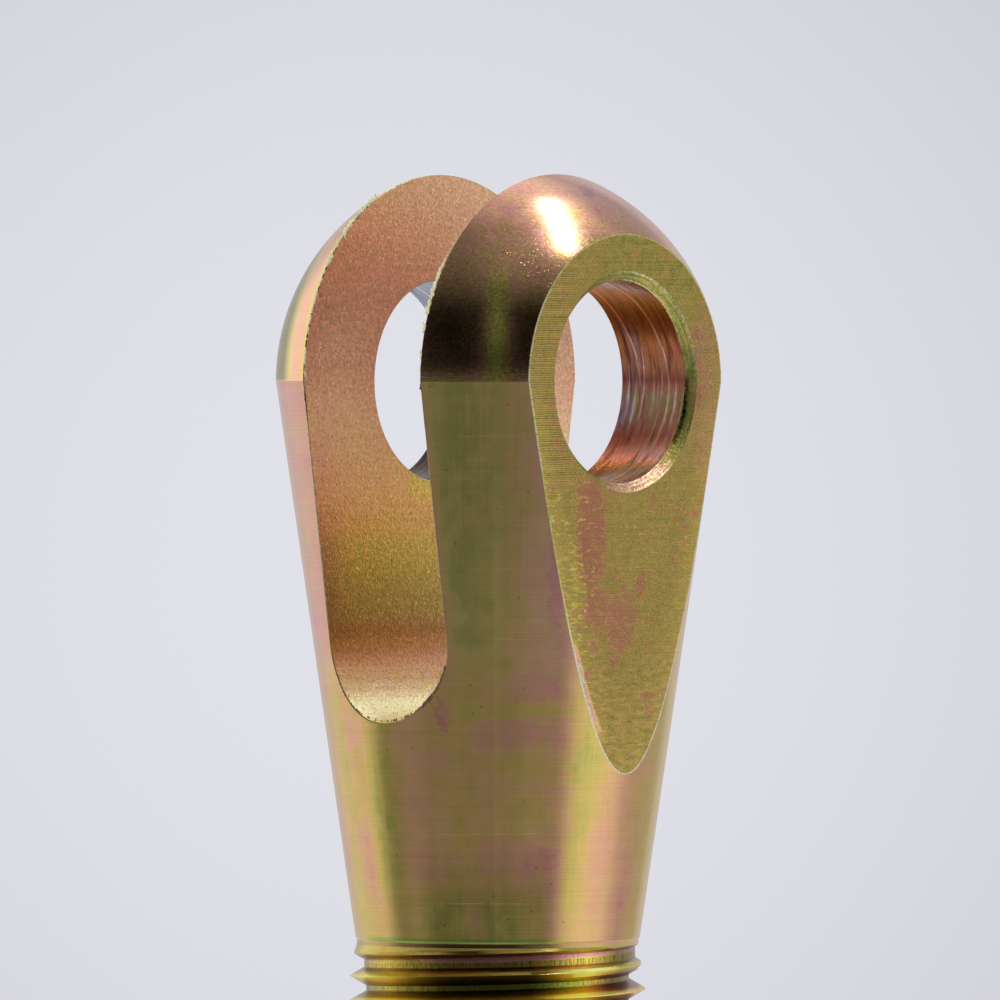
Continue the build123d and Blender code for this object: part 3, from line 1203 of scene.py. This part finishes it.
# Painted shade: the far ear's bore is drawn dark and purple at its bottom, lighter at its top.
far_side = x.ramp(0, -1)
hue = blend(hue + rub_streaks_and_rim_light * 0.12 - gilded * 0.3, 1.0, greyed * 0.85)
hue = blend(hue, z.ramp(-1, 1) * 0.1 + 0.9, far_side)
shade = blend(shade, z.ramp(-1, 1) * 0.9 + 0.3, far_side)
gaps = rub_streaks_and_rim_light.ramp(-0.05, -0.4)
# The score's groove is real; its brightening here is a painted highlight.
shade *= 0.85 + rub_streaks_and_rim_light * 0.35 + rough_skin * 0.2 + greyed * 0.3 + score * 1.1 - gaps * 0.4
shade *= 1 + gilded * 0.7 + salmon * 0.3 - pitted * 0.4
bored.film(hue, shade, warmth=reddened * 0.4 + gilded * 0.3 - salmon * 0.25)
bored.relief(rough_skin * 0.006 - score * 0.01)

# %% [markdown]
# ## The thread
#
# Every point has its place across the thread: on the floor, a flank or a crest. `winds` counts the
# turns up to a point, and what is left over is its distance from the groove's floor. One graph
# gives the film across the shallow first groove, another across the deep ones. The tool chattered,
# so the floors carry upright ticks.

# %% The thread
threaded = Plating("thread", roughness=0.26)
_, _, z, turn = threaded.place
camera_angle = math.degrees(math.atan2(front[1], front[0]))
groove_z = thread_inputs["First groove"] / MM
winds = (z - groove_z) / (thread_pitch / MM) - (threaded.angle + camera_angle) / 360
across = ((winds + 0.5) % 1 - 0.5) * (thread_pitch / MM)  # from the groove's floor, up is positive
blotch = threaded.mottle(1.5)
ticks = threaded.noise(turn / 0.8, z / 1.2, 0.0, detail=3.0)
grit = threaded.mottle(0.14, shift=3.0)
first = z.ramp(-37.9, -37.75)  # the shallow groove under the relief ring
on_ring = (winds - 26).ramp(0.32, 0.37) * abs(threaded.angle).ramp(178, 130)
drop = threaded.graph(turn, {
    -90: 0.6, -44: 0.5, -30: 0.12, 0: 0.0, 24: 0.08, 50: 0.17, 90: 0.2,
})
wavy = across + grit * 0.04
upper_floor = (wavy - drop).ramp(-0.06, 0.04) * across.ramp(0.5, 0.4)
shallow = threaded.graph(wavy, {
    -0.8: 0.14, -0.58: 0.1, -0.46: 0.4, -0.38: 0.5, -0.2: 0.28, 0.05: 0.3, 0.25: 0.46, 0.42: 0.56,
    0.56: 0.4, 0.7: 0.34, 1: 0.3,
})
shallow = blend(blend(shallow, 0.82, upper_floor), 0.34, on_ring)
green_side = turn.ramp(-34, 0) * turn.ramp(46, 34) * 0.24
deep = threaded.graph(wavy, {
    -0.8: 0.14, -0.62: 0.16, -0.5: 0.5, -0.18: 0.55, -0.1: 0.2, 0.2: 0.18, 0.3: 0.42, 0.42: 0.4,
    0.5: 0.08, 0.8: 0.14,
})
deep = deep - green_side * wavy.within(-0.1, 0.3, 0.06) + turn.ramp(42, 52) * 0.3
on_crest = abs(across).ramp(0.66, 0.76)
# Painted light and shade across the thread: crests drawn bright, flanks and floors darker.
shallow_shade = threaded.graph(across, {
    -0.8: 2.1, -0.6: 1.9, -0.46: 0.85, -0.36: 0.8, -0.2: 1.0, 0.05: 0.95, 0.2: 0.7, 0.34: 0.65,
    0.42: 0.4, 0.5: 0.4, 0.6: 0.95, 0.7: 1.1, 1.0: 1.1,
})
deep_shade = threaded.graph(across, {
    -0.8: 2.0, -0.64: 1.6, -0.52: 0.6, -0.14: 0.55, -0.06: 0.8, 0.16: 0.8, 0.24: 0.6, 0.4: 0.85,
    0.5: 1.35, 0.8: 2.0,
})

# %% Painted light and shade on the thread
# Painted light and shade round the shank: side and ring_side make each angle brighter or darker, and the
# crests are drawn darker in front.
side = threaded.graph(turn, {
    -90: 0.6, -66: 0.9, -55: 1.15, -42: 0.9, -26: 0.42, 0: 0.34, 14: 0.42, 25: 1.0, 33: 1.6,
    42: 1.8, 50: 1.2, 59: 0.5, 90: 0.5,
})
side = blend(side, side**0.75, on_crest.most(upper_floor * first))
ring_side = threaded.graph(turn, {
    -90: 0.8, -52: 0.75, -25: 1.4, 8: 1.3, 21: 0.45, 27: 0.55, 36: 1.5, 48: 1.4, 60: 0.9, 90: 0.8,
})
side = blend(side, ring_side, on_ring)
chattered = across.within(-0.4, 0.06, 0.07) * first + across.within(-0.14, 0.18, 0.05) * (1 - first)
stroke = ticks.ramp(-0.25, 0.25)
speck = grit.ramp(0.38, 0.52) * on_crest
shallow -= on_ring * turn.ramp(14, 30) * 0.3
orange = across.within(-0.74, -0.6, 0.05) * turn.within(-30, 22, 8)
thick = blend(deep, shallow, first) + blotch * 0.12 + (0.5 - stroke) * 0.2 * chattered
shallow_shade = blend(shallow_shade, 1.0, on_ring)
light = blend(deep_shade, shallow_shade, first) * side * (1 + grit * 0.4 - chattered * (1 - stroke) * 0.55)
rosy_floor = upper_floor * first
light = light * (1 + rosy_floor * 0.5) * (1 - on_crest * turn.within(-36, 20, 8) * 0.35)
warmth = 0.4 - rosy_floor * 0.35 - on_crest * 0.25
threaded.film(blend(thick, 1.0, speck) + orange * 0.25, light, warmth=warmth)
threaded.relief(ticks * chattered * 0.008 + grit * 0.004)

# %% [markdown]
# ## Broken edges
#
# Plating wears off a sharp edge first, so the narrow strips along the edges show pale zinc, broken
# up by noise. Two of them are painted dark instead, as shade, where the edge turns from the light
# under its burrs. The chamfer round the bore has rings from the tool that cut it, painted shade in
# a dark ring on its inner side, and pale zinc painted as light along its foot. The far ear's edge
# is painted darker near its top, as shade.

# %% Broken edges
edged = Plating("edge", roughness=0.45)
x, _, z, _ = edged.place
edge_turn, from_bore = edged.about_bore()
ridges = edged.noise(from_bore / 0.08, edge_turn / 30, 0.0)
crumbled = edged.mottle(0.2)
on_chamfer = x.ramp(9.9, 10.1) * from_bore.ramp(7.3, 7.1)
# Painted shade: a dark ring on the chamfer's inner side.
dark_ring = on_chamfer * from_bore.ramp(6.72, 6.62) * edge_turn.within(-38, 4, 4)
beside_flat = x.ramp(8, 9) * (1 - on_chamfer)
bare = (crumbled.ramp(-0.3, 0.2) * (1 - beside_flat * 0.75) + beside_flat * z.ramp(-13, -16) * 0.6)
bare = bare * (1 - on_chamfer) * (z.ramp(-16, -13).most(beside_flat))
# Painted light: the chamfer's foot, under the strip light, is drawn pale with bare zinc.
lit_foot = on_chamfer * edge_turn.within(-106, -50, 6)
bare = bare.most(lit_foot * crumbled.ramp(-0.2, 0.3) * 0.5)
bare = bare.most(beside_flat * z.within(-6, 6, 2) * crumbled.ramp(-0.4, 0) * 0.55)
rims = abs(from_bore - 6.75).ramp(0.15, 0.24) * on_chamfer * crumbled.ramp(-0.2, 0.3)
bare = bare.most(rims * edge_turn.ramp(-30, 20) * 0.6)
# Painted shade: the dark lines along two edges under the burrs.
far_line = x.ramp(0, -1) * edged.radius.ramp(7, 9) * z.ramp(-3, -1) * z.ramp(8.5, 7.5)
near_line = x.within(4, 6, 0.2) * z.within(-3, 4.2, 0.3)
dark_line = (far_line * x.ramp(-6, -5)).most(near_line) * (1 - on_chamfer)
dark_line *= crumbled.ramp(0.45, 0.3)
# Painted shade: the far ear's edge near its top is drawn darker and less bare.
bare = bare * (1 - dark_line) * (1 - x.ramp(0, -1) * z.ramp(7, 9) * 0.85)
shade = 1 + crumbled * (0.3 + on_chamfer * 0.3) + ridges * 0.75 * on_chamfer
shade = shade - dark_ring * 0.7 - dark_line * 0.75
shade *= 1 - x.ramp(0, -1) * z.ramp(7, 9) * (0.5 + crumbled.ramp(0, -0.3) * 0.3)
thick = 0.1 + edged.mottle(1.0) * 0.25 + ridges * 0.2 + lit_foot * 0.5 + dark_line * 0.85
edged.film(thick, shade, bare=bare)
edged.relief((ridges * 0.02 + crumbled * 0.01) * on_chamfer + crumbled * 0.008)

# %% [markdown]
# ## Burrs and the faced end
#
# The crumbs along the slot are painted pale, as light, where the light reaches them, and painted
# dark, as shade, further down. The faced end of the shank is under the part, and has plain rings
# from the lathe.

# %% Burrs and the faced end
burr = Plating("burr", roughness=0.5)
burr.shader.inputs["Metallic"].default_value = 0.25
# Painted light and shade: the crumbs are drawn pale and bare higher up and dark lower down.
pale = (burr.z + burr.mottle(0.5) * 3).ramp(-1, 2) * burr.mottle(0.12).ramp(-0.6, -0.2)
burr.film(0.22 + burr.mottle(0.3) * 0.2 + (1 - pale) * 0.6, 0.3 + pale * 0.9, warmth=0.15, bare=pale)
faced = Plating("faced", roughness=0.3)
rings_cut = faced.noise(faced.radius / 0.15, faced.turn / 90, 0.0)
faced.film(0.35 + faced.mottle(3.0) * 0.25, 1 + rings_cut * 0.1)
faced.relief(rings_cut * 0.002)
for finish in [*FINISHES, "burr"]:
    print(f"{finish}: {len(bpy.data.materials[finish].node_tree.nodes)} nodes")

# %% [markdown]
# ## Studio
#
# Plated metal shows its surroundings more than itself, so the studio comes before any lamp. It is
# written as a level of light for each direction: azimuth is 0 at the camera and grows to its right,
# elevation is 0 at eye height. Behind the camera lies the dark of the room, which the front of the
# ball and the taper pick up as their deep middle tone. Pale walls stand to both sides, and below is
# the pale floor, with the camera's and the tripod's shade on it. The pale backdrop behind the part
# is what the eye sees everywhere, and what the metal mirrors where it stands.

# %% Directions in the studio
def light_ray(tree, name):
    """1 for one kind of ray, such as those that the camera sends."""
    return make_node(tree, "ShaderNodeLightPath", output=name)


def mix_shaders(tree, share, first, second):
    return make_node(tree, "ShaderNodeMixShader", Fac=share, Shader=first, Shader_001=second)


world = bpy.data.worlds.new("studio")
bpy.context.scene.world = world
bpy.context.scene.view_settings.view_transform = "Standard"
world.use_nodes = True
sky = world.node_tree
sky.nodes.clear()
direction = make_node(sky, "ShaderNodeTexCoord", output="Generated")


def share_along(way):
    """The cosine between the direction that is looked at and a fixed one."""
    return direction.vector_maths("DOT_PRODUCT", way, "Value")


forward, sideways, upward = share_along(front), share_along(level_right), share_along((0, 0, 1))
azimuth = sideways.maths("ARCTAN2", forward) * (180 / pi)
elevation = upward.maths("ARCSINE") * (180 / pi)

# %% Walls, ceiling and the dark behind the camera
dark_room = azimuth.within(-58, 52, 12) * elevation.ease(-15, 7)
dark_room *= elevation.ease(69, 35)
doorway = azimuth.within(-4, 2, 3) * (elevation.ramp(14, 30) * 0.62 + 0.3)
walls = 0.8 - azimuth.within(-95, 78, 10) * 0.3 - azimuth.within(82, 118, 6) * 0.14
walls += azimuth.within(-150, -112, 12) * 0.35
ceiling = 0.16 + sideways.ease(-0.4, 0.15) * 0.2 + forward.ease(0.1, -0.5) * 0.1
ceiling -= azimuth.within(70, 170, 15) * 0.14
for way, spot_edge, strength in CEILING_SPOTS:
    ceiling += share_along(way).ease(spot_edge, SPOT_HEART) * strength
lintel = 20 - azimuth.within(105, 175, 10) * 22
level = walls + elevation.ease(lintel, lintel + 40) * (ceiling - walls)
level *= 1 - dark_room * (0.99 - doorway)

# %% The floor further out, and the backdrop
floor_level = 0.74 - azimuth.within(-94, 50, 8) * 0.52
floor_level += azimuth.within(-76, -54, 6) * 0.05
floor_level += azimuth.within(62, 92, 8) * 0.15
floor_level = floor_level - azimuth.within(101, 155, 10) * 0.27 + azimuth.within(15, 48, 15) * 0.07
level += elevation.ramp(-1, -3) * (floor_level - level)

glow_centre = (-towards_camera - right * 0.0067 - up * 0.004).normalized()
apart = direction.vector_maths("DISTANCE", glow_centre, "Value")
fall = ((apart / 0.051) ** 2).least(1.15) * 0.14
BACKDROP = (0.755, 0.755, 0.815)
DAYLIGHT = (1, 1, 1.04)
PLAIN_LEVEL = 0.62  # what matt surfaces get from every side


def glow(colour, strength):
    return make_node(sky, "ShaderNodeBackground", Color=(*colour, 1), Strength=strength)


behind = share_along(-towards_camera).ease(0.77, 0.9)
seen = light_ray(sky, "Is Camera Ray").most(light_ray(sky, "Is Transmission Ray"))
seen = seen.most(light_ray(sky, "Is Glossy Ray") * behind)
matt_ray = light_ray(sky, "Is Diffuse Ray")
lit = mix_shaders(sky, matt_ray, glow(DAYLIGHT, level), glow(DAYLIGHT, PLAIN_LEVEL))
mixed = mix_shaders(sky, seen, lit, glow(BACKDROP, 1 - fall))
sky.links.new(mixed.socket, sky.nodes.new("ShaderNodeOutputWorld").inputs["Surface"])
print(f"world: {len(sky.nodes)} nodes")

# %% [markdown]
# One lamp is enough: a long strip over the part draws the slanting highlight on the ball.

# %% The strip light
strip = bpy.data.lights.new("strip light", "AREA")
strip.shape = "RECTANGLE"
strip.size, strip.size_y = 0.04, 0.66  # metres
strip.energy = 4.0  # watts
strip_lamp = add_object("strip light", strip)
spot = way_to(0.385, 0.17, 1.0)
facing = -spot.normalized()
long_way = level_right * 0.34 + front * 0.88
long_way = (long_way - facing * long_way.dot(facing)).normalized()
cross_way = long_way.cross(-facing).normalized()
turned_to = Matrix((cross_way, long_way, -facing)).transposed()
strip_lamp.matrix_world = Matrix.Translation(spot) @ turned_to.to_4x4()
print(f"strip: {strip.energy:.0f} W, {strip.size_y:.2f} m long, {spot.length:.2f} m away")

# %% [markdown]
# ## The floor
#
# The rod end stands on its faced end, on a pale sheet that fades into the backdrop. Reflections
# look past the sheet a little outside the shadow, because the taper would otherwise mirror its rim.

# %% A pale floor
floor_radius = 0.6
rim = bmesh.new()
bmesh.ops.create_circle(rim, cap_ends=True, segments=96, radius=floor_radius)
bmesh.ops.translate(rim, verts=rim.verts, vec=(0, 0, end_z))
floor_mesh = bpy.data.meshes.new("floor")
rim.to_mesh(floor_mesh)
rim.free()
floor = add_object("floor", floor_mesh)

paper = bpy.data.materials.new("pale paper")
floor_mesh.materials.append(paper)
paper.use_nodes = True
sheet = paper.node_tree
sheet.nodes.clear()
here = make_node(sheet, "ShaderNodeTexCoord", output="Object")
x = here.node("ShaderNodeSeparateXYZ", output="X", Vector=here)
from_axis = (x**2 + x.also("Y") ** 2) ** 0.5
by_eye = light_ray(sheet, "Is Camera Ray").most(light_ray(sheet, "Is Transmission Ray"))
fade = blend(from_axis.ease(0.13, 0.06), from_axis.ease(0.6, 0.2), by_eye)
matt = make_node(sheet, "ShaderNodeBsdfDiffuse", Color=(0.72, 0.72, 0.78, 1))
clear = make_node(sheet, "ShaderNodeBsdfTransparent")
laid = mix_shaders(sheet, fade, clear, matt)
sheet.links.new(laid.socket, sheet.nodes.new("ShaderNodeOutputMaterial").inputs["Surface"])
print(f"floor: {floor_radius} m, at {end_z / MM:.0f} mm")
